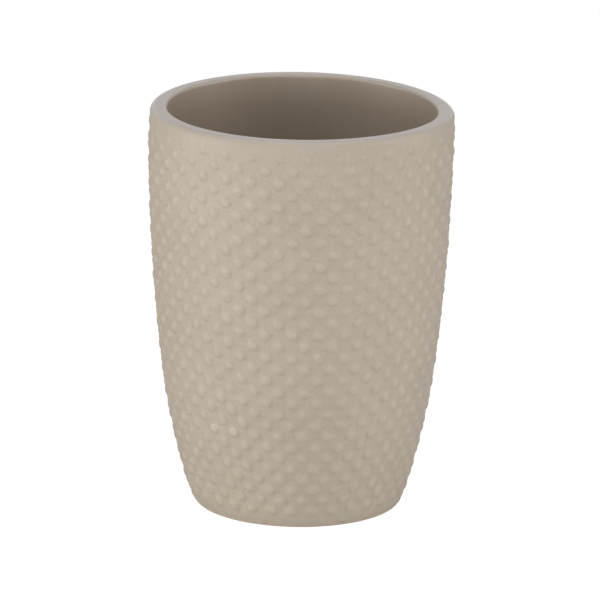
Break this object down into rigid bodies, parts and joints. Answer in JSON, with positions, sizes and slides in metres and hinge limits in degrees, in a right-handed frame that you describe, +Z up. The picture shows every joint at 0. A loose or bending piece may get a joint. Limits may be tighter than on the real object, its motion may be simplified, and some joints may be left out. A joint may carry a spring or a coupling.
{
  "type": "bathroom tumbler",
  "caption": "Round stoneware bathroom tumbler with a gently bowed wall, matt beige glaze over staggered raised dots, a smooth lip and a bare foot ring.",
  "frame": {"origin": "centre of the face of the foot ring that it stands on", "axes": "+Z up along the tumbler's axis, -Y its front"},
  "size_m": [0.08, 0.08, 0.107],
  "materials": {
    "bare_clay": "matte",
    "matt_glaze": "matte",
    "lining_glaze": "satin"
  },
  "bodies": {
    "root": {"stoneware_body": "bare_clay", "outer_glaze": "matt_glaze", "raised_dots": "matt_glaze", "inner_glaze": "lining_glaze", "base_glaze": "lining_glaze"}
  },
  "joints": []
}
